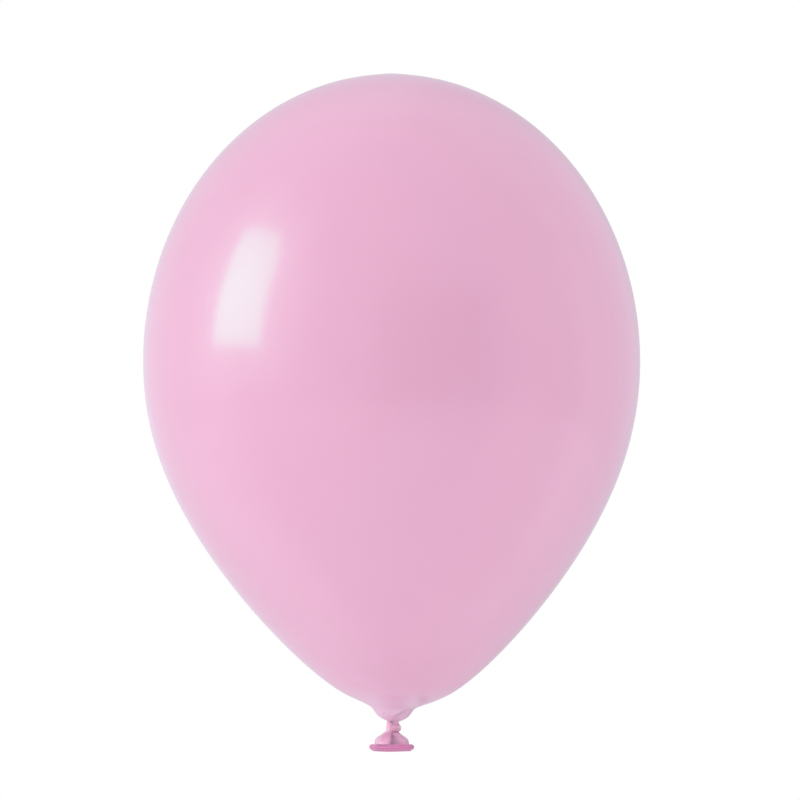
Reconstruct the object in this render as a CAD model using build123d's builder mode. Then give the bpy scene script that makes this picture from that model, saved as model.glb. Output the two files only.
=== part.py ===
from build123d import *
import os
from math import asin, cos, degrees, radians, sin, sqrt

# A latex party balloon, blown up and tied off with an overhand knot.
# Millimetres. +Z runs up the balloon's axis. The origin is the tie point: the place on the
# axis where the neck is pinched shut, just under the inflated body.

# Inflated body
body_radius = 140.0          # half of the widest diameter
widest_z = 202.5             # height of the widest place above the tie point
crown_height = 162.0         # from the widest place up to the top
film = 0.4                   # thickness of the body's wall

# Lower half of the body, from the widest place down to where the neck starts
lower_pull = 63.0            # how far the wall keeps falling straight down
cheek = (111.7, 91.8)        # two points that draw the wall in
funnel = (55.8, 28.1)
neck_start = (27.4, 14.35)

# Neck bulb: the short unstretched bowl between the body and the tie
bulb_radius = 10.9
bulb_z = 6.9                 # height of the bulb's widest place
bulb_depth = 6.9             # from there down to the tie point
bulb_film = 0.8
flare = (17.5, 9.55)         # draws the concave fillet between the body and the bulb
flare_rise = 1.5

# Throat: the strand of twisted neck between the bulb and the knot
throat_radius = 3.0
throat_gap = 0.05            # running clearance, so that the throat can twist in the bulb
throat_top = 3.1
socket_top = 3.2
socket_wall = 1.0
strand_radius = 2.1          # where the latex is pulled tightest, and the radius of both balls
swing_z = -2.0               # the knot leans about this height
cup_radius = 2.3             # both cups leave 0.2 round their ball

# Knot
knot_top = -3.2
knot_core_radius = 2.9
knot_core_bottom = -5.3
loop_radius = 3.75           # from the axis to the middle of the loop's strand
loop_width = 0.9             # half of the strand's width
loop_height = 1.15           # half of the strand's height
loop_z = -4.6
loop_tilt = 5.0
flex_z = -6.8                # the tail bends about this height

# Tail skirt: the loose end of the neck below the knot, a thin bell
skirt_top = -8.1
skirt_radius = 10.2
skirt_film = 0.6
skirt_shoulder_z = -12.2     # the bell's side is straight below this
skirt_dome = 5.2             # height of the bell's dome above that, before its top is cut flat
skirt_bottom = -16.3
boss_radius = 3.0
boss_bottom = -9.7
roof = -8.9                  # underside of the bell's flat top

# Rolled bead round the mouth
bead_width = 2.8
bead_height = 3.3
bead_corner = 1.35

os.makedirs("parts", exist_ok=True)


def lower_outline(inset):
    """Control points of the body's lower half, moved in by the wall's thickness."""
    curvature = body_radius / crown_height**2
    drawn_in = body_radius - curvature * lower_pull**2 * 4 / 3
    lean = inset * sqrt(0.5)
    return [
        (body_radius - inset, widest_z),
        (body_radius - inset, widest_z - lower_pull),
        (drawn_in - 0.9 * inset, cheek[1] + 0.4 * inset),
        (funnel[0] - lean, funnel[1] + lean),
        neck_edge(inset),
    ]


def neck_edge(inset):
    """The end of the body's wall, square to the wall."""
    slope = radians(25.9)
    return (neck_start[0] - inset * sin(slope), neck_start[1] + inset * cos(slope))


def crown_outline(inset):
    """Control points of a quarter ellipse, from the widest place up to the top."""
    ellipse_handle = 4 / 3 * (sqrt(2) - 1)
    radius = body_radius - inset
    height = crown_height - inset
    return [
        (radius, widest_z),
        (radius, widest_z + ellipse_handle * height),
        (ellipse_handle * radius, widest_z + height),
        (0, widest_z + height),
    ]


# The lower curve leaves the widest place with the same curvature as the crown
with BuildPart() as envelope:
    with BuildSketch(Plane.XZ):
        with BuildLine():
            outer_crown = Bezier(*crown_outline(0))
            inner_crown = Bezier(*crown_outline(film))
            Line(outer_crown @ 1, inner_crown @ 1)
            Bezier(*lower_outline(0))
            Bezier(*lower_outline(film))
            Line(neck_edge(0), neck_edge(film))
        make_face()
    revolve(axis=Axis.Z)
envelope.part.label = "envelope"
export_step(envelope.part, "parts/envelope.step")

# A bowl whose rim meets the body's wall. A short closed socket stands inside it, where the
# neck is gathered in and turns down into the throat.
socket_radius = throat_radius + throat_gap
with BuildPart() as neck_bulb:
    with BuildSketch(Plane.XZ):
        with BuildLine():
            Bezier(neck_start, flare, (bulb_radius, bulb_z + flare_rise), (bulb_radius, bulb_z))
            bowl = EllipticalCenterArc(
                (0, bulb_z), bulb_radius, bulb_depth, start_angle=270, arc_size=90
            )
            Polyline(bowl @ 0, (0, neck_edge(film)[1]), neck_edge(film), neck_start)
        make_face()
        with BuildLine():
            inner_radius = bulb_radius - bulb_film
            Bezier(
                neck_edge(film),
                (flare[0] - bulb_film / 2, flare[1] + bulb_film),
                (inner_radius, bulb_z + flare_rise + bulb_film),
                (inner_radius, bulb_z),
            )
            hollow = EllipticalCenterArc(
                (0, bulb_z), inner_radius, bulb_depth - bulb_film, start_angle=270, arc_size=90
            )
            Polyline(hollow @ 0, (0, neck_edge(film)[1]), neck_edge(film))
        make_face(mode=Mode.SUBTRACT)
        with Locations((0, bulb_film)):
            Rectangle(
                socket_radius + socket_wall,
                socket_top + socket_wall - bulb_film,
                align=(Align.MIN, Align.MIN),
            )
        Rectangle(socket_radius, socket_top, align=(Align.MIN, Align.MIN), mode=Mode.SUBTRACT)
    revolve(axis=Axis.Z)
neck_bulb.part.label = "neck_bulb"
export_step(neck_bulb.part, "parts/neck_bulb.step")

# A round plug in the bulb's socket, then a taper down to the ball that the knot leans on
with BuildPart() as throat:
    with BuildSketch(Plane.XZ):
        with BuildLine():
            Polyline(
                (0, swing_z - strand_radius),
                (0, throat_top),
                (throat_radius, throat_top),
                (throat_radius, 0),
                (strand_radius, swing_z + 0.8),
                (strand_radius, swing_z),
            )
            CenterArc((0, swing_z), strand_radius, start_angle=-90, arc_size=90)
        make_face()
    revolve(axis=Axis.Z)
throat.part.label = "throat"
export_step(throat.part, "parts/throat.step")

# The strand that is tucked through the knot: a core with the throat's cup in its top,
# and the ball that the tail bends about at its bottom
with BuildPart() as knot_tuck:
    with BuildSketch(Plane.XZ):
        with BuildLine():
            Polyline(
                (0, flex_z - strand_radius),
                (0, knot_top),
                (knot_core_radius, knot_top),
                (knot_core_radius, knot_core_bottom),
                (strand_radius, knot_core_bottom - 0.8),
                (strand_radius, flex_z),
            )
            CenterArc((0, flex_z), strand_radius, start_angle=-90, arc_size=90)
        make_face()
        # the cone beyond the cup's rim lets the throat lean over by 45 degrees
        with BuildLine():
            cup = CenterArc((0, swing_z), cup_radius, start_angle=-90, arc_size=45)
            cone_end = (cup @ 1) + (2, 2)
            Polyline(cup @ 1, cone_end, (0, cone_end.Y), cup @ 0)
        make_face(mode=Mode.SUBTRACT)
    revolve(axis=Axis.Z)
knot_tuck.part.label = "knot_tuck"
export_step(knot_tuck.part, "parts/knot_tuck.step")

# The loop that is pulled tight round the tucked strand
with BuildPart() as knot_loop:
    with BuildSketch(Plane.XZ):
        with Locations((loop_radius, 0)):
            Ellipse(loop_width, loop_height)
    revolve(axis=Axis.Z)
loop = knot_loop.part.rotate(Axis.Y, loop_tilt).moved(Location((0, 0, loop_z)))
loop.label = "knot_loop"
export_step(loop, "parts/knot_loop.step")


def bell_outline(radius, dome, top):
    """Half of a bell: a straight side, and above it a dome that is cut flat at its top."""
    turn = degrees(asin((top - skirt_shoulder_z) / dome))
    side = EllipticalCenterArc((0, skirt_shoulder_z), radius, dome, arc_size=turn)
    Polyline(side @ 1, (0, top), (0, skirt_bottom), (radius, skirt_bottom), side @ 0)


# The bell, closed at the top by a shallow cup for the knot's ball, and open below
with BuildPart() as skirt:
    with BuildSketch(Plane.XZ):
        with BuildLine():
            bell_outline(skirt_radius, skirt_dome, skirt_top)
        make_face()
        with BuildLine():
            bell_outline(skirt_radius - skirt_film, skirt_dome - skirt_film, roof)
        make_face(mode=Mode.SUBTRACT)
        with Locations((0, roof)):
            Rectangle(boss_radius, roof - boss_bottom, align=(Align.MIN, Align.MAX))
        with Locations((0, flex_z)):
            Circle(cup_radius, mode=Mode.SUBTRACT)
    revolve(axis=Axis.Z)
skirt.part.label = "skirt"
export_step(skirt.part, "parts/skirt.step")

# The bead is the skirt's own edge rolled up on the outside of the film
with BuildPart() as rolled_bead:
    with BuildSketch(Plane.XZ):
        with Locations((skirt_radius, skirt_bottom)):
            RectangleRounded(bead_width, bead_height, bead_corner, align=(Align.MIN, Align.MIN))
    revolve(axis=Axis.Z)
rolled_bead.part.label = "rolled_bead"
export_step(rolled_bead.part, "parts/rolled_bead.step")
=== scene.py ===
import math

import bpy
import numpy as np
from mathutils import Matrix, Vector


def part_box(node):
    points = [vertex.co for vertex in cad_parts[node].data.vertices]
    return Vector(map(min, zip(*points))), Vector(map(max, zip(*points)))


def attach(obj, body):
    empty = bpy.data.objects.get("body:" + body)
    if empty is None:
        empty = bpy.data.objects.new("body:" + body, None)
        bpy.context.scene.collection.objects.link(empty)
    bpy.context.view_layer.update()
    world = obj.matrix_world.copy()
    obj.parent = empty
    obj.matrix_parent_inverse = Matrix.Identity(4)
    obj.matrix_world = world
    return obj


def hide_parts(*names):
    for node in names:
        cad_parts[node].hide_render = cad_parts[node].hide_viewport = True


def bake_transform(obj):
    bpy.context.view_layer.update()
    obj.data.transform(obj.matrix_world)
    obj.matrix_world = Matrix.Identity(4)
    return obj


# A pink latex party balloon, blown up and tied. Metres, in the CAD model's frame: +Z runs up
# the axis and the origin is the tie point. Lengths below are in millimetres times MM.

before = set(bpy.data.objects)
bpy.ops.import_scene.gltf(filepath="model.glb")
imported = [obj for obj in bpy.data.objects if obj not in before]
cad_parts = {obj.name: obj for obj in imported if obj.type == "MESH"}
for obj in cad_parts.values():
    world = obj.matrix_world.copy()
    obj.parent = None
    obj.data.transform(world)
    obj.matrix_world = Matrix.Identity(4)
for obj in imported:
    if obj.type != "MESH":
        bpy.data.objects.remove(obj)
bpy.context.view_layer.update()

MM = 0.001
FRONT = -math.pi / 2         # the side that faces the camera, as an angle about +Z from +X

# Places from the CAD model
body_low, body_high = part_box("envelope")

# Inflated body: a half ellipse above the widest place, and one curve from there to the neck
CROWN_HEIGHT = 162 * MM
LOWER_PULL = 63 * MM
CHEEK_Z = 91.8 * MM
FUNNEL = (55.8 * MM, 28.1 * MM)
NECK_RADIUS = 27.4 * MM
WIDEST_Z = body_high.z - CROWN_HEIGHT
NECK_Z = body_low.z

# Neck bulb: the profile turns steep at its side and flat again at the throat
FLARE = [(17.4 * MM, 9.7 * MM), (12.66 * MM, 8.57 * MM)]
BULB_SIDE = (11.6 * MM, 7.0 * MM)
BOWL = [(10.15 * MM, 4.84 * MM), (8.0 * MM, 1.8 * MM)]
BOWL_END = (3.0 * MM, 0.45 * MM)

# How far the neck and the throat stand to the right of the axis. Above LEAN_TOP the body is
# on the axis.
LEAN_TOP = 180 * MM
NECK_LEAN = 3.5 * MM
THROAT_LEAN = 0.6 * MM
BOTTOM_Z = 0.55 * MM         # where the skin closes, inside the throat

# How far apart the points of the body's profile are, and how its corners are rounded
PROFILE_COUNT = 400          # points in each curve before they are spaced again
FINE_BELOW = 11 * MM
FINE_SPACING = 0.28 * MM
SPACING_PER_HEIGHT = 0.045
SPACING_RANGE = (0.4 * MM, 2.6 * MM)
SMOOTHING_PASSES = 24
SKIN_COLUMNS = 240

# The fold across the front of the bulb and the dimple beside it: places as x and z
CREASE = (1.6 * MM, 3.0 * MM)
CREASE_SLOPE = math.radians(32)
DIMPLE = (-5.2 * MM, 4.6 * MM)


# ---------------------------------------------------------------- curves and meshes

def smoothstep(low, high, value):
    t = np.clip((np.asarray(value, float) - low) / (high - low), 0, 1)
    return t * t * (3 - 2 * t)


def hump(value, width):
    """One at value 0, falling smoothly to nothing a width or two away."""
    return np.exp(-((np.asarray(value, float) / width) ** 2))


def turn_from(angle, middle):
    """How far an angle is from another, from -pi to pi."""
    return (angle - middle + math.pi) % (2 * math.pi) - math.pi


def bezier(points, t):
    """Points of a Bezier curve of any degree at the parameters t."""
    points = np.asarray(points, float)
    degree = len(points) - 1
    total = np.zeros((len(t), points.shape[1]))
    for i, point in enumerate(points):
        share = math.comb(degree, i) * (1 - t) ** (degree - i) * t**i
        total += share[:, None] * point
    return total


def through(points, count):
    """A smooth line of count points that passes through a few given ones (Catmull-Rom)."""
    points = np.asarray(points, float)
    ends = np.concatenate([[2 * points[0] - points[1]], points, [2 * points[-1] - points[-2]]])
    place = np.linspace(0, len(points) - 1, count)
    step = np.minimum(place.astype(int), len(points) - 2)
    t = (place - step)[:, None]
    a, b, c, d = (ends[step + k] for k in range(4))
    bend = 2 * a - 5 * b + 4 * c - d
    swing = 3 * b - a - 3 * c + d
    return 0.5 * (2 * b + (c - a) * t + bend * t**2 + swing * t**3)


def respace(line, gap):
    """The same line of (radius, z) with new points, gap(z) apart."""
    steps = np.linalg.norm(np.diff(line, axis=0), axis=1)
    middle_z = (line[1:, 1] + line[:-1, 1]) / 2
    count = np.concatenate([[0], np.cumsum(steps / gap(middle_z))])
    wanted = np.linspace(0, count[-1], int(round(count[-1])) + 1)
    return np.stack([np.interp(wanted, count, line[:, k]) for k in (0, 1)], axis=1)


def mesh_from_rings(name, rings, first_tip=None, last_tip=None, ring_of_rings=False, fold=0):
    """A smooth mesh over rings[row, column]. A tip closes an end with a fan of triangles.
    fold is how much painted shade each point gets, from 0 to 1, in folds, grooves and other
    places where shade falls."""
    rows, columns = rings.shape[:2]
    vertices = [tuple(v) for v in rings.reshape(-1, 3)]
    faces = []
    for i in range(rows if ring_of_rings else rows - 1):
        here = i * columns
        below = (i + 1) % rows * columns
        for j in range(columns):
            k = (j + 1) % columns
            faces.append((here + j, below + j, below + k, here + k))
    for tip, start in ((first_tip, 0), (last_tip, (rows - 1) * columns)):
        if tip is None:
            continue
        vertices.append(tuple(tip))
        for j in range(columns):
            a = start + j
            b = start + (j + 1) % columns
            faces.append((a, b, len(vertices) - 1) if start == 0 else (b, a, len(vertices) - 1))
    mesh = bpy.data.meshes.new(name)
    mesh.from_pydata(vertices, [], faces)
    mesh.shade_smooth()
    mesh.validate()
    tips = np.zeros(len(vertices) - rows * columns)
    depth = np.broadcast_to(fold, (rows, columns)).reshape(-1)
    # the painted shade goes to the material as the point attribute named fold
    shade = mesh.attributes.new("fold", "FLOAT", "POINT")
    shade.data.foreach_set("value", np.concatenate([depth, tips]).astype(np.float32))
    piece = bpy.data.objects.new(name, mesh)
    bpy.context.scene.collection.objects.link(piece)
    return piece


def around(columns):
    return np.linspace(0, 2 * math.pi, columns, endpoint=False)[None, :]


def sweep(path, facing, wide, deep, section, columns):
    """Rings along a path. facing is the direction of the section's first axis, wide and deep are
    the section's half sizes at each point, and section(angle, along) shapes it further."""
    tangent = np.gradient(path, axis=0)
    tangent /= np.linalg.norm(tangent, axis=1)[:, None]
    facing = np.broadcast_to(np.asarray(facing, float), path.shape)
    first = facing - (facing * tangent).sum(1)[:, None] * tangent
    first /= np.linalg.norm(first, axis=1)[:, None]
    second = np.cross(tangent, first)
    angle = around(columns)
    along = np.linspace(0, 1, len(path))[:, None]
    scale = section(angle, along)
    u = (scale * np.cos(angle) * np.asarray(wide)[:, None])[:, :, None] * first[:, None, :]
    v = (scale * np.sin(angle) * np.asarray(deep)[:, None])[:, :, None] * second[:, None, :]
    return path[:, None, :] + u + v


# ---------------------------------------------------------------- inflated body and neck bulb

def body_profile():
    """(radius, z) from the crown down to the throat."""
    turn = np.linspace(math.pi / 2, 0, PROFILE_COUNT)
    crown = np.stack([body_high.x * np.cos(turn), WIDEST_Z + CROWN_HEIGHT * np.sin(turn)], axis=1)
    t = np.linspace(0, 1, PROFILE_COUNT)[1:]
    curvature = body_high.x / CROWN_HEIGHT**2
    drawn_in = body_high.x - curvature * LOWER_PULL**2 * 4 / 3
    start = (body_high.x, WIDEST_Z)
    fall = (body_high.x, WIDEST_Z - LOWER_PULL)
    neck = (NECK_RADIUS, NECK_Z)
    lower = bezier([start, fall, (drawn_in, CHEEK_Z), FUNNEL, neck], t)
    flare = bezier([neck, *FLARE, BULB_SIDE], t)
    bowl = bezier([BULB_SIDE, *BOWL, BOWL_END], t)
    return np.concatenate([crown, lower, flare, bowl])


def spacing(z):
    """How far apart the points of the body's profile are, at a height."""
    return np.where(z < FINE_BELOW, FINE_SPACING, np.clip(SPACING_PER_HEIGHT * z, *SPACING_RANGE))


def lean(z):
    """How far the middle is to the right of the axis, at a height."""
    hang = NECK_LEAN * np.clip((LEAN_TOP - z) / (LEAN_TOP - NECK_Z), 0, 1) ** 1.6
    tie = THROAT_LEAN + 0.08 * z
    return tie + (hang - tie) * smoothstep(6.5 * MM, 12 * MM, z)


def gathers(angle, z):
    """How far the latex stands out in the pleats that run into the throat."""
    strength = 1 - smoothstep(0.2 * MM, 7 * MM, z)
    turned = angle + 0.11 * z / MM
    pleats = (
        0.5 * np.cos(9 * turned + 0.7)
        + 0.3 * np.cos(13 * turned + 2.1)
        + 0.35 * np.cos(5 * turned - 0.6)
    )
    return 0.24 * MM * strength**1.6 * pleats


def front_crease(x, y, z):
    """The fold across the front of the bulb, a ridge over a valley that rises to one side:
    how far it stands out, and how much painted shade each point gets, in the valley and the
    dimple."""
    beside, above = x - CREASE[0], z - CREASE[1]
    over = above * math.cos(CREASE_SLOPE) - beside * math.sin(CREASE_SLOPE)
    along = above * math.sin(CREASE_SLOPE) + beside * math.cos(CREASE_SLOPE)
    reach = smoothstep(-2.5 * MM, 1.5 * MM, along) * (1 - smoothstep(5 * MM, 9.5 * MM, along))
    valley = -0.8 * hump(over, 0.9 * MM)
    ridge = 0.55 * hump(over - 1.8 * MM, 1.3 * MM)
    lobe = 0.7 * hump(over + 2.6 * MM, 1.7 * MM)
    dimple = -0.3 * hump(np.hypot(x - DIMPLE[0], z - DIMPLE[1]), 0.8 * MM)
    front = 1 - smoothstep(-1 * MM, 1.5 * MM, y)
    # painted shade in the valley and in the dimple
    deep = 0.3 * hump(over + 0.3 * MM, 1.0 * MM) * reach + 0.25 * hump(dimple + 0.3, 0.12)
    return MM * front * ((valley + ridge + lobe) * reach + dimple), front * deep


def body_skin():
    line = respace(body_profile(), spacing)[1:]
    # rounds the places where two curves meet
    for _ in range(SMOOTHING_PASSES):
        line[1:-1] = (line[:-2] + 2 * line[1:-1] + line[2:]) / 4
    angle = around(SKIN_COLUMNS)
    z = line[:, 1:2] + 0 * angle
    radius = line[:, 0:1] + gathers(angle, z)
    x = radius * np.cos(angle)
    y = radius * np.sin(angle)
    # the fold moves the surface outward and down alike, because the bulb's side faces both ways
    out, fold = front_crease(x, y, z)
    push = 0.7 * out
    x = x + lean(z) + push * np.cos(angle)
    y = y + push * np.sin(angle)
    rings = np.stack([x, y, z - push], axis=2)
    bottom = (THROAT_LEAN, 0, BOTTOM_Z)
    return mesh_from_rings("balloon_skin", rings, (0, 0, body_high.z), bottom, fold=fold)


# ---------------------------------------------------------------- throat and knot

# The middle lines of the two strands, from the top down, in mm
THROAT_PATH = [
    (0.7, 0, 1.0),
    (0.55, 0, -0.6),
    (0.7, 0.1, -2.2),
    (0.6, 0.3, -6.4),
]
TUCK_PATH = [
    (-0.7, -0.7, -0.3),
    (-1.1, -2.2, -1.7),
    (-1.35, -2.9, -3.4),
    (-1.45, -2.9, -5.0),
    (-1.65, -3.0, -6.1),
    (-2.0, -3.4, -7.0),
    (-2.5, -3.95, -7.7),
]

# The wrap: its middle, and the radii of its middle line to the right and to the front, in mm
WRAP_MIDDLE = (0.75, 0.1, -3.5)
WRAP_RADII = (2.7, 2.75)

THROAT_COLUMNS = 128
TUCK_COLUMNS = 96


def throat_strand():
    """The pinched neck: two thick pleats side by side, twisted a little. It goes on inside the
    wrap and down into the top of the tail."""
    path = through(np.array(THROAT_PATH) * MM, 70)
    along = np.linspace(0, 1, len(path))
    size = 3.55 - 0.25 * hump(along - 0.28, 0.2) - 0.6 * smoothstep(0.5, 1, along)

    def section(angle, along):
        turned = angle - 0.5 * along
        front = -0.24 * hump(turn_from(turned, FRONT + 0.02), 0.42)
        back = -0.2 * hump(turn_from(turned, -FRONT - 0.3), 0.4)
        pleats = 0.035 * np.cos(9 * turned + 0.7) + 0.025 * np.cos(14 * turned)
        return 1 + front + back + pleats * smoothstep(0.1, 0.4, along)

    rings = sweep(path, (1, 0, 0), size * MM, -0.95 * size * MM, section, THROAT_COLUMNS)
    # painted shade: a little all over, and more in the crease at the front of its top
    front = hump(turn_from(around(THROAT_COLUMNS), FRONT - 0.2), 0.5)
    fold = 0.1 + 0.7 * front * hump(along[:, None] - 0.25, 0.14)
    return mesh_from_rings("throat_strand", rings, path[0], path[-1], fold=fold)


def knot_wrap():
    """The neck wound once round itself: a fat ring, fullest at its right, with a small curl in
    the latex at the front."""
    turn = np.linspace(0, 2 * math.pi, 160, endpoint=False)
    pressed = 0.8 * hump(turn_from(turn, FRONT - 0.6), 0.55)    # under the tucked strand
    path = np.stack(
        [
            (WRAP_MIDDLE[0] + (WRAP_RADII[0] - pressed) * np.cos(turn)) * MM,
            (WRAP_MIDDLE[1] + (WRAP_RADII[1] - pressed) * np.sin(turn)) * MM,
            (WRAP_MIDDLE[2] - 0.15 * np.cos(turn) - 0.3 * np.sin(2 * turn)) * MM,
        ],
        axis=1,
    )
    outward = np.stack([np.cos(turn), np.sin(turn), 0 * turn], axis=1)
    tangent = np.gradient(np.concatenate([path[-1:], path, path[:1]]), axis=0)[1:-1]
    tangent /= np.linalg.norm(tangent, axis=1)[:, None]
    second = np.cross(tangent, outward)
    second /= np.linalg.norm(second, axis=1)[:, None]
    angle = -around(96)
    turn = turn[:, None]
    right = hump(turn_from(turn, -0.15), 1.2)
    wide = (1.35 + 0.42 * right + 0.08 * np.cos(5 * turn)) * MM
    tall = (1.75 + 0.7 * right + 0.08 * np.cos(4 * turn + 1)) * MM
    lower = hump(turn_from(angle, 0.75 + 0.55 * np.sin(turn + 0.4)), 0.24)
    upper = hump(turn_from(angle, -0.55 + 0.5 * np.cos(1.5 * turn)), 0.2)
    across = 2.9 * turn_from(turn, FRONT + 0.4)
    over = 2.1 * turn_from(angle, 0.2)
    open_side = smoothstep(1.1, 0.3, np.abs(turn_from(np.arctan2(over, across), -2.2)))
    curl = hump(np.hypot(across, over) - 0.8, 0.26) * (1 - open_side)
    grooves = 1 - 0.09 * lower - 0.05 * upper - 0.07 * curl
    u = (grooves * np.cos(angle) * wide)[:, :, None] * outward[:, None, :]
    v = (grooves * np.sin(angle) * tall)[:, :, None] * second[:, None, :]
    rings = path[:, None, :] + u + v
    # painted shade in the grooves and the curl, and on the wrap's right side
    fold = np.clip(0.25 * lower + 0.2 * upper + 0.25 * curl + 0.12 * right, 0, 1)
    return mesh_from_rings("knot_wrap", rings, ring_of_rings=True, fold=fold)


def tucked_strand():
    """The strand that comes down over the wrap at the front and runs into the tail."""
    path = through(np.array(TUCK_PATH) * MM, 84)
    along = np.linspace(0, 1, len(path))
    wide = 1.45 + 0.3 * smoothstep(0.1, 0.4, along) - 0.25 * smoothstep(0.75, 1, along)
    deep = 1.3 + 0.25 * smoothstep(0.1, 0.4, along) - 0.95 * smoothstep(0.7, 1, along)

    def pleat(angle, along):
        turned = angle + 0.9 * along
        inner = hump(turn_from(turned, FRONT + 1.1), 0.26)
        outer = hump(turn_from(turned, FRONT - 0.6), 0.2)
        return inner + 0.7 * outer

    def section(angle, along):
        return 1 - 0.12 * pleat(angle, along) + 0.03 * np.cos(6 * angle + 5 * along)

    rings = sweep(path, (1, 0, 0), wide * MM, -deep * MM, section, TUCK_COLUMNS)
    # its tint turns into the tail's shaded tint before they meet, and its pleats get painted
    # shade
    into_tail = smoothstep(0.35, 0.72, along)[:, None]
    fold = np.clip(0.3 * pleat(around(TUCK_COLUMNS), along[:, None]) + into_tail, 0, 1)
    return mesh_from_rings("tucked_strand", rings, path[0], path[-1], fold=fold)


# ---------------------------------------------------------------- tail: skirt and lip

HOLLOW_DEPTH = 3.7                  # the deep fold in the front, in mm

# The tail's folds: angle from the front, depth in mm, width to the left and to the right
FOLDS = [
    (0.1, HOLLOW_DEPTH, 0.17, 0.66),
    (-1.25, 0.8, 0.3, 0.3),
    (1.35, 0.9, 0.3, 0.25),
    (2.2, 1.9, 0.35, 0.2),
    (-2.3, 1.6, 0.22, 0.4),
    (3.05, 0.9, 0.25, 0.25),
]
TAIL_TILT = math.radians(-1.6)      # the mouth's front edge is a little higher than its back
TILT_Z = -8.0                       # the tilt begins below this, in mm


def tilt_tail(points):
    """Turns the lower part of the tail about the X direction. Millimetres."""
    x, y, z = points[..., 0], points[..., 1], points[..., 2]
    turn = TAIL_TILT * smoothstep(TILT_Z, -12, z)
    tilted_y = y * np.cos(turn) - (z - TILT_Z) * np.sin(turn)
    tilted_z = y * np.sin(turn) + (z - TILT_Z) * np.cos(turn) + TILT_Z
    return np.stack([x, tilted_y, tilted_z], axis=-1)


# The film's outside and inside, from its gathered top down into the lip: radius and height in mm
OUTSIDE = [
    (2.3, -4.5),
    (4.2, -5.4),
    (6.0, -6.7),
    (8.0, -8.3),
    (9.35, -9.8),
    (10.1, -11.2),
    (10.25, -12.3),
    (10.1, -13.3),
    (10.15, -14.4),
]
INSIDE = [
    (1.2, -10.0),
    (3.2, -9.9),
    (5.2, -9.95),
    (7.0, -10.25),
    (8.4, -10.95),
    (9.3, -11.85),
    (9.6, -12.6),
    (9.65, -13.4),
    (9.95, -14.4),
]
LOBE = FRONT - 0.6                  # the angle where the film bulges, below the tucked strand
SKIRT_ROWS = 84
SKIRT_COLUMNS = 192


def skirt_surface(angle, down, profile):
    """Points of one face of the loose end, from its gathered top (0) down into the lip (1), and
    how much painted shade each gets, in its folds and where shade falls."""
    line = through(profile, len(down))
    radius = line[:, 0:1] + 0 * angle
    z = line[:, 1:2] + 0 * angle
    # the dome's top is pulled down, more at the right, and most where the tucked strand comes out
    high = smoothstep(-11.5, -5.0, z)
    z = z - (0.78 + 0.12 * np.cos(angle)) * high
    z = z - 1.0 * hump(turn_from(angle, FRONT - 0.25), 0.5) * high**2
    # and its outer face rises to meet the strand, so that the one runs into the other
    rise = 1.25 * hump(turn_from(angle, LOBE), 0.4) * hump(radius - 4.6, 1.3)
    z = z + rise * smoothstep(-9.6, -8.2, z)
    # the lobe stands out below the strand, and furthest where it bulges over the lip
    middle = smoothstep(-5.5, -8, z) * (1 - smoothstep(-11, -12.5, z))
    radius = radius + 0.7 * hump(turn_from(angle, LOBE), 0.3) * middle
    radius = radius + 0.9 * hump(turn_from(angle, LOBE), 0.45) * hump(z + 12.35, 1.0)
    # both sides are drawn in a little above the lip
    radius = radius - 0.4 * hump(turn_from(angle, 0), 0.6) * hump(z + 11.6, 1.2)
    radius = radius - 0.6 * hump(turn_from(angle, math.pi), 0.6) * hump(z + 11.4, 1.2)
    # the folds fade out at the top and at the lip, and near the axis
    reach = smoothstep(-5.6, -8.8, z) * (1 - smoothstep(-11.8, -13.3, z))
    roomy = smoothstep(1.5, 6.5, radius)
    fold = 0 * radius
    for place, depth, left, right in FOLDS:
        away = turn_from(angle, FRONT + place)
        width = np.where(away < 0, left, right)
        inward = np.exp(-np.abs(away / width) ** 3) * reach
        radius = radius - depth * inward * roomy
        fold = np.maximum(fold, inward * depth / HOLLOW_DEPTH)
    # the gathers that run down from the top
    gathered = (1 - smoothstep(0.0, 0.5, down)) * radius
    turned = angle + 0.35 * down
    pleats = 0.055 * np.cos(11 * turned + 1) + 0.045 * np.cos(7 * turned)
    radius = radius + gathered * pleats
    # painted shade for the material: in the folds, in the gathers except on the lobe, along the
    # line where the film meets the lip, at the foot of the deep fold, and over the dome's top
    off_lobe = 1 - 0.8 * hump(turn_from(angle, LOBE), 0.5)
    creased = -2.2 * np.minimum(pleats, 0) * (1 - down) * off_lobe
    at_lip = 0.45 * smoothstep(-12.6, -13.3, z)
    deepest = 0.55 * hump(turn_from(angle, FRONT - 0.02), 0.12) * hump(z + 12.2, 1.0)
    shaded_top = 0.14 * smoothstep(-9.5, -7.0, z)
    fold = 0.6 * fold**1.4 + creased + at_lip + deepest + shaded_top
    points = np.stack([radius * np.cos(angle), radius * np.sin(angle), z], axis=2)
    return tilt_tail(points) * MM, np.clip(fold, 0, 1)


def tail_skirt():
    """A film with an outer and an inner face, closed at the top and hidden in the lip below."""
    angle = around(SKIRT_COLUMNS)
    down = np.linspace(0, 1, SKIRT_ROWS)[:, None]
    outer, outer_fold = skirt_surface(angle, down, OUTSIDE)
    inner, inner_fold = skirt_surface(angle, down, INSIDE)
    rings = np.concatenate([outer, inner[::-1]])
    fold = np.concatenate([outer_fold, inner_fold[::-1]])
    up = np.array([0, 0, 0.2 * MM])
    top = outer[0].mean(0) + up
    roof = inner[0].mean(0) + up
    return mesh_from_rings("tail_skirt", rings, top, roof, fold=fold)


LIP_RADIUS = 11.25                  # from the axis to the middle of the rolls, in mm
LIP_Z = -14.4
LIP_SQUARENESS = 1.65               # 2 would make its section an ellipse, 1 a diamond


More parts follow.
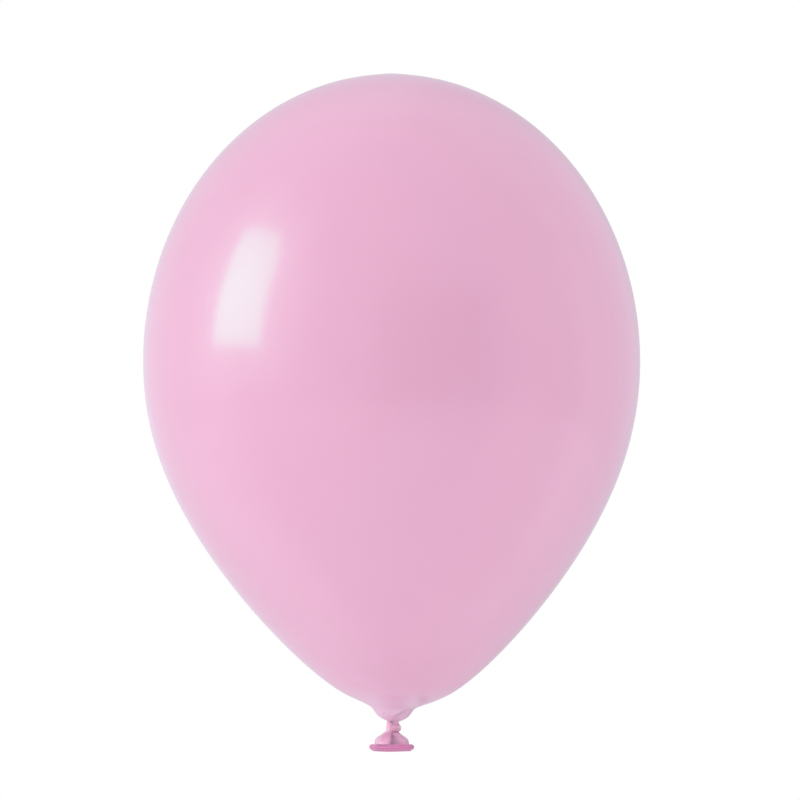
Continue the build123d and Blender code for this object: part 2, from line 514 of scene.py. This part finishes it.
def rolled_lip():
    """The edge of the film rolled up on itself in two rolls, one above the other."""
    turn = np.linspace(0, 2 * math.pi, 224, endpoint=False)[:, None]
    angle = around(64)
    outward = np.cos(angle)
    # a little thicker inward, where it closes in on the mouth's bore
    wide = np.where(outward < 0, 1.55, 1.5) + 0.05 * np.cos(3 * turn + 1)
    bulge = np.abs(outward) ** LIP_SQUARENESS + np.abs(np.sin(angle)) ** LIP_SQUARENESS
    rounded = bulge ** (-1 / LIP_SQUARENESS)
    level = rounded * np.sin(angle)
    tall = np.where(level > 0, 1.65, 2.25)
    # the lower roll is the narrower, and a groove parts the two
    narrower = 1.15 * smoothstep(0, -1, level)
    groove = hump(turn_from(angle, -0.12 + 0.06 * np.cos(2 * turn + 0.6)), 0.15)
    radius = LIP_RADIUS + 0.08 * np.cos(2 * turn + 0.5) - narrower
    lower = hump(turn_from(angle, -0.55), 0.28)
    radius = radius + wide * rounded * (1 - 0.17 * groove + 0.14 * lower) * outward
    # its top dips where the film bulges over it
    dip = 0.42 * hump(turn_from(turn, LOBE), 0.45) * smoothstep(0, 0.9, level)
    z = LIP_Z + 0.08 * np.cos(3 * turn + 2) + tall * level - dip
    points = np.stack([radius * np.cos(turn), radius * np.sin(turn), z], axis=2)
    rings = tilt_tail(points) * MM
    # painted shade: in the groove, on the underside of the rolls and on the side that faces the
    # mouth
    underside = 0.8 * hump(turn_from(angle, FRONT), 0.9)
    inside = 0.35 * hump(turn_from(angle, math.pi), 0.9)
    fold = np.clip(0.4 * groove + underside + inside, 0, 1)
    return mesh_from_rings("rolled_lip", rings, ring_of_rings=True, fold=fold)


# ---------------------------------------------------------------- latex

# Base colours: two close tints of each film, the neck's paler tint (a painted reflection of the
# white floor), and the painted shade tints
STRETCHED_TINTS = [(0.758, 0.402, 0.580), (0.740, 0.375, 0.552)]
GATHERED_TINTS = [(0.88, 0.50, 0.69), (0.80, 0.40, 0.60)]
# the tucked strand's tints are paler than the other gathered latex's: a painted highlight
TUCKED_HIGHLIT_TINTS = [(0.97, 0.58, 0.77), (0.90, 0.49, 0.69)]
LIP_TINTS = [(0.72, 0.33, 0.54), (0.62, 0.18, 0.40)]
NECK_REFLECTION_TINT = (0.76, 0.47, 0.64)
SHADE = (0.33, 0.22, 0.30)
# painted shade: the tucked strand darkens towards this in its pleats and where it runs into the
# tail
TAIL_SHADE_TINT = (0.74, 0.37, 0.56)      # the tucked strand's, where it meets the tail
LIP_SHADE = (0.42, 0.10, 0.25)

# The stretched body, and the film that isn't stretched: the size of the mottling and of the
# grain, and the grain's strength
STRETCHED_GRAIN = (24, 900, 0.05)
GATHERED_GRAIN = (260, 2600, 0.25)
GRAIN_HEIGHT = 0.1 * MM

BODY_ROUGHNESS = 0.16
NECK_ROUGHNESS = 0.34
DULL_HEIGHTS = (45 * MM, 5 * MM)    # between these the gloss dulls towards the neck
PALE_NECK_HEIGHTS = (22 * MM, 6 * MM)    # and between these the neck's paler tint, a painted reflection of the white floor, comes in


def add_noise(tree, place, scale, detail):
    noise = tree.nodes.new("ShaderNodeTexNoise")
    noise.inputs["Scale"].default_value = scale
    noise.inputs["Detail"].default_value = detail
    tree.links.new(place.outputs["Object"], noise.inputs["Vector"])
    return noise


def add_tint(tree, share, under, over):
    """The colour over, mixed by share into what is under: a colour or another mix."""
    mix = tree.nodes.new("ShaderNodeMix")
    mix.data_type = "RGBA"
    mix.inputs["B"].default_value = (*over, 1)
    tree.links.new(share, mix.inputs["Factor"])
    if isinstance(under, tuple):
        mix.inputs["A"].default_value = (*under, 1)
    else:
        tree.links.new(under.outputs["Result"], mix.inputs["A"])
    return mix


def add_ramp(tree, height, heights):
    """From 0 to 1 between two heights."""
    ramp = tree.nodes.new("ShaderNodeMapRange")
    ramp.interpolation_type = "SMOOTHSTEP"
    ramp.inputs["From Min"].default_value = heights[0]
    ramp.inputs["From Max"].default_value = heights[1]
    tree.links.new(height, ramp.inputs["Value"])
    return ramp


def latex(name, tints, shade_tint, gloss, gathered=True):
    """Pigmented latex in two close tints, with a painted shade tint mixed in where the mesh marks
    shade. The gathered kind is dull and lets a little light in. The other is the blown-up body,
    smooth and glossy, which turns into the gathered kind's dullness towards the neck, and into a
    paler tint there, a painted reflection of the white floor."""
    mottling, grain_size, grain_strength = GATHERED_GRAIN if gathered else STRETCHED_GRAIN
    material = bpy.data.materials.new(name)
    material.use_nodes = True
    tree = material.node_tree
    shader = tree.nodes["Principled BSDF"]
    shader.inputs["Roughness"].default_value = NECK_ROUGHNESS
    place = tree.nodes.new("ShaderNodeTexCoord")

    mottle = add_noise(tree, place, mottling, 6)
    mottle.inputs["Roughness"].default_value = 0.6
    tint = add_tint(tree, mottle.outputs["Fac"], *tints)

    if not gathered:
        parts = tree.nodes.new("ShaderNodeSeparateXYZ")
        tree.links.new(place.outputs["Object"], parts.inputs["Vector"])
        # the body turns paler towards the neck: a painted reflection of the white floor
        near = add_ramp(tree, parts.outputs["Z"], PALE_NECK_HEIGHTS)
        tint = add_tint(tree, near.outputs["Result"], tint, NECK_REFLECTION_TINT)
        dull = add_ramp(tree, parts.outputs["Z"], DULL_HEIGHTS)
        dull.inputs["To Min"].default_value = BODY_ROUGHNESS
        dull.inputs["To Max"].default_value = NECK_ROUGHNESS
        tree.links.new(dull.outputs["Result"], shader.inputs["Roughness"])

    # painted shade: the colour is mixed towards the shade tint as far as the mesh's fold value
    # says
    fold = tree.nodes.new("ShaderNodeAttribute")
    fold.attribute_name = "fold"
    tint = add_tint(tree, fold.outputs["Fac"], tint, shade_tint)
    tree.links.new(tint.outputs["Result"], shader.inputs["Base Color"])

    bump = tree.nodes.new("ShaderNodeBump")
    bump.inputs["Strength"].default_value = grain_strength
    bump.inputs["Distance"].default_value = GRAIN_HEIGHT
    grain = add_noise(tree, place, grain_size, 3)
    tree.links.new(grain.outputs["Fac"], bump.inputs["Height"])
    tree.links.new(bump.outputs["Normal"], shader.inputs["Normal"])

    shader.inputs["IOR"].default_value = 1.5
    shader.inputs["Specular IOR Level"].default_value = 0.5 * gloss
    shader.inputs["Coat Weight"].default_value = 0.5 * gloss
    shader.inputs["Coat Roughness"].default_value = 0.4
    shader.inputs["Coat IOR"].default_value = 1.4
    if gathered:
        shader.inputs["Subsurface Weight"].default_value = 0.15
        shader.inputs["Subsurface Radius"].default_value = (1.0, 0.35, 0.55)
        shader.inputs["Subsurface Scale"].default_value = 0.7 * MM
    return material


# ---------------------------------------------------------------- studio

def glow(name, strength, colour=(1, 1, 1)):
    """A material that only gives off light."""
    material = bpy.data.materials.new(name)
    material.use_nodes = True
    nodes, links = material.node_tree.nodes, material.node_tree.links
    nodes.remove(nodes["Principled BSDF"])
    light = nodes.new("ShaderNodeEmission")
    light.inputs["Color"].default_value = (*colour, 1)
    light.inputs["Strength"].default_value = strength
    links.new(light.outputs["Emission"], nodes["Material Output"].inputs["Surface"])
    return material


def towards(azimuth, elevation):
    """A direction from the balloon. Azimuth 0 is towards the camera and grows to the right."""
    a, e = math.radians(azimuth), math.radians(elevation)
    return Vector((math.sin(a) * math.cos(e), -math.cos(a) * math.cos(e), math.sin(e)))


def reflected_only(obj):
    """Seen in the gloss of the latex, and nowhere else."""
    obj.visible_camera = False
    obj.visible_diffuse = False
    obj.visible_shadow = False
    obj.visible_transmission = False
    obj.visible_volume_scatter = False


# The softbox stands at the left, at a distance from the place it lights. The corners of its face
# are given as azimuth and elevation. The face is weaker at its top than at its bottom.
LIT_PLACE = Vector((-0.08, -0.10, 0.245))
SOFTBOX_DISTANCE = 3.0
SOFTBOX_CORNERS = [(-91, 3.5), (-62.5, 3.5), (-61.5, 31), (-67, 39.5), (-92, 35.5)]
SOFTBOX_MIDDLE = (-70, 21)
SOFTBOX_COLOUR = (0.2, 1.0, 0.66)   # added to the latex's pink it makes a white highlight
SOFTBOX_FADE_HEIGHTS = (1.3, 2.1)
SOFTBOX_STRENGTHS = (6.8, 5.6)
SOFTBOX_WIDTH = 1.4
SOFTBOX_HEIGHT = 1.8
SOFTBOX_WATTS = 17


def softbox():
    """A tall softbox at the left. Its face shows in the gloss, and a light does the lighting."""
    corners = [LIT_PLACE + SOFTBOX_DISTANCE * towards(*corner) for corner in SOFTBOX_CORNERS]
    mesh = bpy.data.meshes.new("softbox_face")
    mesh.from_pydata(corners, [], [range(len(corners))])
    face = bpy.data.objects.new("softbox_face", mesh)
    material = glow("softbox_glow", SOFTBOX_STRENGTHS[0], SOFTBOX_COLOUR)
    face.data.materials.append(material)
    nodes, links = material.node_tree.nodes, material.node_tree.links
    place = nodes.new("ShaderNodeTexCoord")
    parts = nodes.new("ShaderNodeSeparateXYZ")
    weaker = nodes.new("ShaderNodeMapRange")
    weaker.inputs["From Min"].default_value = SOFTBOX_FADE_HEIGHTS[0]
    weaker.inputs["From Max"].default_value = SOFTBOX_FADE_HEIGHTS[1]
    weaker.inputs["To Min"].default_value = SOFTBOX_STRENGTHS[0]
    weaker.inputs["To Max"].default_value = SOFTBOX_STRENGTHS[1]
    links.new(place.outputs["Object"], parts.inputs["Vector"])
    links.new(parts.outputs["Z"], weaker.inputs["Value"])
    links.new(weaker.outputs["Result"], nodes["Emission"].inputs["Strength"])
    bpy.context.scene.collection.objects.link(face)
    reflected_only(face)

    direction = towards(*SOFTBOX_MIDDLE)
    lamp = bpy.data.lights.new("softbox_light", "AREA")
    lamp.shape = "RECTANGLE"
    lamp.size = SOFTBOX_WIDTH
    lamp.size_y = SOFTBOX_HEIGHT
    lamp.energy = SOFTBOX_WATTS
    light = bpy.data.objects.new("softbox_light", lamp)
    light.location = LIT_PLACE + SOFTBOX_DISTANCE * direction
    light.rotation_mode = "QUATERNION"
    light.rotation_quaternion = direction.to_track_quat("Z", "Y")
    light.visible_glossy = False
    light.visible_camera = False
    bpy.context.scene.collection.objects.link(light)


DOME_RADIUS = 7.0
WALL_COLOUR = (0.98, 1.0, 1.08)
WALL_LEVEL = 0.62

# What the gloss sees round the studio: azimuth, elevation, half width, half height, the soft
# edges at the sides and at top and bottom (all in degrees), and how much brighter or darker
# than the walls it is
SURROUNDINGS = [
    (0, -90, 122, 77, 30, 4, 0.38),
    (-72, 20, 26, 26, 26, 24, 0.75),
    (0, 90, 200, 40, 10, 25, 0.13),
    (-135, -30, 56, 40, 22, 30, 0.14),
    (-135, 20, 56, 90, 22, 20, 0.16),
    (-179, 30, 26, 24, 24, 26, -0.09),
    (130, 5, 32, 60, 24, 40, 0.16),
    (180, -22, 36, 14, 30, 20, -0.12),
    (22, 3, 30, 24, 26, 24, -0.5),
    (80, 5, 30, 40, 16, 16, 0.12),
    (177, 2, 5, 10, 8, 10, -0.12),
]


def studio_walls():
    """A dome that only the gloss sees, with soft lighter and darker parts."""
    height = np.radians(np.linspace(89, -89, 40)[:, None])
    turn = around(48)
    level = np.cos(height)
    rings = DOME_RADIUS * np.stack(
        [level * np.cos(turn), level * np.sin(turn), np.sin(height) + 0 * turn], axis=2
    )
    dome = mesh_from_rings("studio_walls", rings, (0, 0, DOME_RADIUS), (0, 0, -DOME_RADIUS))
    material = glow("studio_walls", WALL_LEVEL, WALL_COLOUR)
    nodes, links = material.node_tree.nodes, material.node_tree.links

    def math_node(operation, a, b=None):
        node = nodes.new("ShaderNodeMath")
        node.operation = operation
        for socket, value in zip(node.inputs, (a, b)):
            if value is None:
                continue
            if isinstance(value, (int, float)):
                socket.default_value = value
            else:
                links.new(value, socket)
        return node.outputs["Value"]

    def inside(value, middle, half, edge, wrap):
        """One within half of the middle, falling to nothing over the soft edge. An azimuth
        wraps round."""
        away = math_node("SUBTRACT", value, middle)
        if wrap:
            around_once = math_node("FLOORED_MODULO", math_node("ADD", away, 180), 360)
            away = math_node("SUBTRACT", around_once, 180)
        ramp = nodes.new("ShaderNodeMapRange")
        ramp.interpolation_type = "SMOOTHSTEP"
        ramp.inputs["From Min"].default_value = half + edge / 2
        ramp.inputs["From Max"].default_value = half - edge / 2
        links.new(math_node("ABSOLUTE", away), ramp.inputs["Value"])
        return ramp.outputs["Result"]

    place = nodes.new("ShaderNodeTexCoord")
    parts = nodes.new("ShaderNodeSeparateXYZ")
    links.new(place.outputs["Object"], parts.inputs["Vector"])
    x, y, z = parts.outputs["X"], parts.outputs["Y"], parts.outputs["Z"]
    azimuth = math_node("DEGREES", math_node("ARCTAN2", x, math_node("MULTIPLY", y, -1)))
    elevation = math_node("DEGREES", math_node("ARCSINE", math_node("DIVIDE", z, DOME_RADIUS)))
    total = None
    for middle, rise, half_wide, half_high, side_edge, top_edge, change in SURROUNDINGS:
        across = inside(azimuth, middle, half_wide, side_edge, True)
        upright = inside(elevation, rise, half_high, top_edge, False)
        part = math_node("MULTIPLY", math_node("MULTIPLY", across, upright), change)
        total = part if total is None else math_node("ADD", total, part)
    links.new(math_node("ADD", total, WALL_LEVEL), nodes["Emission"].inputs["Strength"])
    dome.data.materials.append(material)
    reflected_only(dome)


CARD_MIDDLE = Vector((0.023, 0.006, -0.0095))
CARD_FACING = Vector((-0.95, -0.3, 0))
CARD_HALF_WIDTH = 0.010
CARD_HALF_HEIGHT = 0.008
CARD_LEVEL = 0.25


def card():
    """A small grey card beside the tail, at its right, that darkens its edges a little, in the
    gloss and in the soft light."""
    sideways = CARD_FACING.normalized().cross(Vector((0, 0, 1)))
    across = CARD_HALF_WIDTH * sideways
    up = Vector((0, 0, CARD_HALF_HEIGHT))
    signs = [(-1, -1), (1, -1), (1, 1), (-1, 1)]
    corners = [CARD_MIDDLE + a * across + b * up for a, b in signs]
    mesh = bpy.data.meshes.new("card")
    mesh.from_pydata(corners, [], [(0, 1, 2, 3)])
    grey = bpy.data.objects.new("card", mesh)
    grey.data.materials.append(glow("card", CARD_LEVEL))
    bpy.context.scene.collection.objects.link(grey)
    reflected_only(grey)
    grey.visible_diffuse = True


FLOOR_Z = -0.5
FLOOR_RADII = (0.05, 3.4)
FLOOR_GREY = 0.85
FLOOR_GLOW = 0.12            # lifts it to the white of the background


def floor():
    """A pale round floor, far enough below to stay out of the picture."""
    turn = around(96)
    radius = np.linspace(*FLOOR_RADII, 12)[:, None]
    height = FLOOR_Z + 0 * radius * turn
    rings = np.stack([radius * np.cos(turn), radius * np.sin(turn), height], axis=2)
    disc = mesh_from_rings("floor", rings, (0, 0, FLOOR_Z))
    material = bpy.data.materials.new("floor")
    material.use_nodes = True
    shader = material.node_tree.nodes["Principled BSDF"]
    shader.inputs["Base Color"].default_value = (FLOOR_GREY, FLOOR_GREY, FLOOR_GREY, 1)
    shader.inputs["Roughness"].default_value = 0.9
    shader.inputs["Specular IOR Level"].default_value = 0
    shader.inputs["Emission Color"].default_value = (1, 1, 1, 1)
    shader.inputs["Emission Strength"].default_value = FLOOR_GLOW
    # seen from below, the floor isn't there, so that the mouth can be looked at
    nodes, links = material.node_tree.nodes, material.node_tree.links
    side = nodes.new("ShaderNodeNewGeometry")
    clear = nodes.new("ShaderNodeBsdfTransparent")
    either = nodes.new("ShaderNodeMixShader")
    links.new(side.outputs["Backfacing"], either.inputs["Fac"])
    links.new(shader.outputs["BSDF"], either.inputs[1])
    links.new(clear.outputs["BSDF"], either.inputs[2])
    links.new(either.outputs["Shader"], nodes["Material Output"].inputs["Surface"])
    disc.data.materials.append(material)
    disc.visible_glossy = False


CAMERA_DISTANCE = 4.0
CAMERA_X = 4.7 * MM
CAMERA_Z = 180.9 * MM
PICTURE_WIDTH = 0.450        # what the picture shows at the balloon's axis


def camera():
    """A long lens, level with the middle of the balloon."""
    lens = bpy.data.cameras.new("camera")
    lens.sensor_width = 36
    lens.lens = lens.sensor_width * CAMERA_DISTANCE / PICTURE_WIDTH
    lens.clip_end = 100
    eye = bpy.data.objects.new("camera", lens)
    eye.location = (CAMERA_X, -CAMERA_DISTANCE, CAMERA_Z)
    eye.rotation_euler = (math.pi / 2, 0, 0)
    bpy.context.scene.collection.objects.link(eye)
    bpy.context.scene.camera = eye


def studio():
    """A white background, and everything round the balloon."""
    bpy.context.scene.view_settings.view_transform = "Standard"
    world = bpy.data.worlds.new("white_studio")
    world.use_nodes = True
    world.node_tree.nodes["Background"].inputs["Color"].default_value = (1, 1, 1, 1)
    world.node_tree.nodes["Background"].inputs["Strength"].default_value = 1.0
    bpy.context.scene.world = world
    softbox()
    studio_walls()
    card()
    floor()
    camera()


# ---------------------------------------------------------------- everything in its place

studio()
thin = latex("latex_stretched", STRETCHED_TINTS, SHADE, 1, gathered=False)
thick = latex("latex_gathered", GATHERED_TINTS, SHADE, 1.1)
tucked_highlit = latex("latex_tucked", TUCKED_HIGHLIT_TINTS, TAIL_SHADE_TINT, 1.1)
rim = latex("latex_lip", LIP_TINTS, LIP_SHADE, 0.4)

skin = body_skin()
skin.data.materials.append(thin)
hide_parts("envelope", "neck_bulb")
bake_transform(skin)

strand = throat_strand()
wrap = knot_wrap()
tuck = tucked_strand()
for piece, node, finish in (
    (strand, "throat", thick),
    (wrap, "knot_loop", thick),
    (tuck, "knot_tuck", tucked_highlit),
):
    piece.data.materials.append(finish)
    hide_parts(node)
    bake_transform(piece)

tail = tail_skirt()
lip = rolled_lip()
for piece, node, finish in ((tail, "skirt", thick), (lip, "rolled_bead", rim)):
    piece.data.materials.append(finish)
    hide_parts(node)
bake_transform(tail)
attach(lip, "tail")
